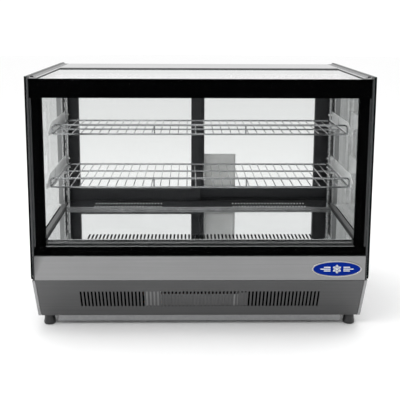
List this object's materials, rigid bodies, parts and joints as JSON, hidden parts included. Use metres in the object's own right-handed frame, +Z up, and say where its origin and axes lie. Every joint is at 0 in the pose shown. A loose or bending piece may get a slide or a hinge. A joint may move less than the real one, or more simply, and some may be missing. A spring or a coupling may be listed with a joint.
{
  "type": "bakery display case",
  "caption": "Refrigerated counter-top glass display case with two wire shelves, polished deck, sliding rear doors and a louvred machine base.",
  "frame": {"origin": "centre of the footprint on the surface the feet stand on", "axes": "+X to the customer's right, +Y from the front glass towards the rear doors, +Z up"},
  "size_m": [0.88, 0.564, 0.685],
  "materials": {
    "brushed_steel": "fine brushed stainless steel",
    "dark_steel": "brushed steel in shade grey",
    "mirror_steel": "mirror polished stainless steel",
    "galvanised_steel": "dull galvanised sheet",
    "black_rubber": "matt black rubber",
    "badge_enamel": "blue enamel with a bright rim, blank",
    "black_frit": "black glazing frame behind glass",
    "clear_glass": "clear tempered glass",
    "corner_aluminium": "satin grey anodised",
    "door_aluminium": "black anodised extrusion",
    "chrome_wire": "bright chrome plated wire",
    "lamp_diffuser": "opal diffuser",
    "well_plastic": "moulded insulated liner",
    "coil_aluminium": "finned coil",
    "fan_plastic": "black moulded plastic",
    "compressor_black": "black painted shell",
    "display_window": "smoked display window",
    "switch_red": "red rocker",
    "switch_green": "green rocker"
  },
  "bodies": {
    "cabinet": {"badge_plate": "badge_enamel", "base_pan": "galvanised_steel", "base_side_left": "brushed_steel", "base_side_right": "brushed_steel", "bracket_lower_left": "brushed_steel", "bracket_lower_right": "brushed_steel", "bracket_upper_left": "brushed_steel", "bracket_upper_right": "brushed_steel", "compressor": "compressor_black", "condenser_coil": "coil_aluminium", "condenser_fan_frame": "fan_plastic", "control_bezel": "fan_plastic", "control_display": "display_window", "cord_inlet": "black_rubber", "corner_profile_left": "corner_aluminium", "corner_profile_right": "corner_aluminium", "door_sill": "door_aluminium", "door_track_top": "door_aluminium", "drain_tray": "galvanised_steel", "evaporator_coil": "coil_aluminium", "evaporator_fan_frame": "fan_plastic", "front_glass": "clear_glass", "front_glass_inner": "clear_glass", "glazing_frame": "black_frit", "insulated_well": "well_plastic", "lamp_diffuser": "lamp_diffuser", "lamp_housing": "corner_aluminium", "lower_fascia": "dark_steel", "rear_panel": "brushed_steel", "rear_post_left": "brushed_steel", "rear_post_right": "brushed_steel", "rear_top_panel": "brushed_steel", "shelf_standard_left": "brushed_steel", "shelf_standard_right": "brushed_steel", "side_glass_left": "clear_glass", "side_glass_right": "clear_glass", "side_trim_left": "brushed_steel", "side_trim_right": "brushed_steel", "top_gasket": "black_rubber", "top_glass": "clear_glass", "upper_fascia": "brushed_steel"},
    "door_left": {"door_left_frame": "door_aluminium", "door_left_glass": "clear_glass"},
    "door_right": {"door_right_frame": "door_aluminium", "door_right_glass": "clear_glass"},
    "shelf_upper": {"shelf_upper": "chrome_wire"},
    "shelf_lower": {"shelf_lower": "chrome_wire"},
    "deck": {"deck_panel": "mirror_steel"},
    "evaporator_fan": {"evaporator_fan": "fan_plastic"},
    "condenser_fan": {"condenser_fan": "fan_plastic"},
    "switch_power": {"switch_power": "switch_red"},
    "switch_light": {"switch_light": "switch_green"},
    "button_set": {"button_set": "fan_plastic"},
    "button_up": {"button_up": "fan_plastic"},
    "button_down": {"button_down": "fan_plastic"},
    "foot_front_left": {"foot_front_left": "black_rubber"},
    "foot_front_right": {"foot_front_right": "black_rubber"},
    "foot_rear_left": {"foot_rear_left": "black_rubber"},
    "foot_rear_right": {"foot_rear_right": "black_rubber"}
  },
  "joints": [
    {"name": "door_left_slide", "type": "slide", "parent": "cabinet", "child": "door_left", "axis": [1, 0, 0], "range_m": [0, 0.4]},
    {"name": "door_right_slide", "type": "slide", "parent": "cabinet", "child": "door_right", "axis": [-1, 0, 0], "range_m": [0, 0.386]},
    {"name": "shelf_upper_lift", "type": "slide", "parent": "cabinet", "child": "shelf_upper", "axis": [0, 0, 1], "range_m": [0, 0.06]},
    {"name": "shelf_lower_lift", "type": "slide", "parent": "cabinet", "child": "shelf_lower", "axis": [0, 0, 1], "range_m": [0, 0.05]},
    {"name": "deck_lift", "type": "slide", "parent": "cabinet", "child": "deck", "axis": [0, 0, 1], "range_m": [0, 0.06]},
    {"name": "fan_evaporator_spin", "type": "hinge", "parent": "cabinet", "child": "evaporator_fan", "pos_m": [0.12, -0.045, 0.226], "axis": [0, 0, 1], "continuous": true},
    {"name": "fan_condenser_spin", "type": "hinge", "parent": "cabinet", "child": "condenser_fan", "pos_m": [-0.036, -0.124, 0.094], "axis": [0, 1, 0], "continuous": true},
    {"name": "switch_power_rock", "type": "hinge", "parent": "cabinet", "child": "switch_power", "pos_m": [0.1708, 0.276, 0.177], "axis": [-1, 0, 0], "range_deg": [0, 8]},
    {"name": "switch_light_rock", "type": "hinge", "parent": "cabinet", "child": "switch_light", "pos_m": [0.2048, 0.276, 0.177], "axis": [-1, 0, 0], "range_deg": [0, 8]},
    {"name": "button_set_press", "type": "slide", "parent": "cabinet", "child": "button_set", "axis": [0, -1, 0], "range_m": [0, 0.0015], "stiffness_N_per_m": 500},
    {"name": "button_up_press", "type": "slide", "parent": "cabinet", "child": "button_up", "axis": [0, -1, 0], "range_m": [0, 0.0015], "stiffness_N_per_m": 500},
    {"name": "button_down_press", "type": "slide", "parent": "cabinet", "child": "button_down", "axis": [0, -1, 0], "range_m": [0, 0.0015], "stiffness_N_per_m": 500},
    {"name": "foot_front_left_screw", "type": "hinge", "parent": "cabinet", "child": "foot_front_left", "pos_m": [-0.411, -0.192, 0.02], "axis": [0, 0, 1], "continuous": true},
    {"name": "foot_front_right_screw", "type": "hinge", "parent": "cabinet", "child": "foot_front_right", "pos_m": [0.411, -0.192, 0.02], "axis": [0, 0, 1], "continuous": true},
    {"name": "foot_rear_left_screw", "type": "hinge", "parent": "cabinet", "child": "foot_rear_left", "pos_m": [-0.411, 0.236, 0.02], "axis": [0, 0, 1], "continuous": true},
    {"name": "foot_rear_right_screw", "type": "hinge", "parent": "cabinet", "child": "foot_rear_right", "pos_m": [0.411, 0.236, 0.02], "axis": [0, 0, 1], "continuous": true}
  ]
}
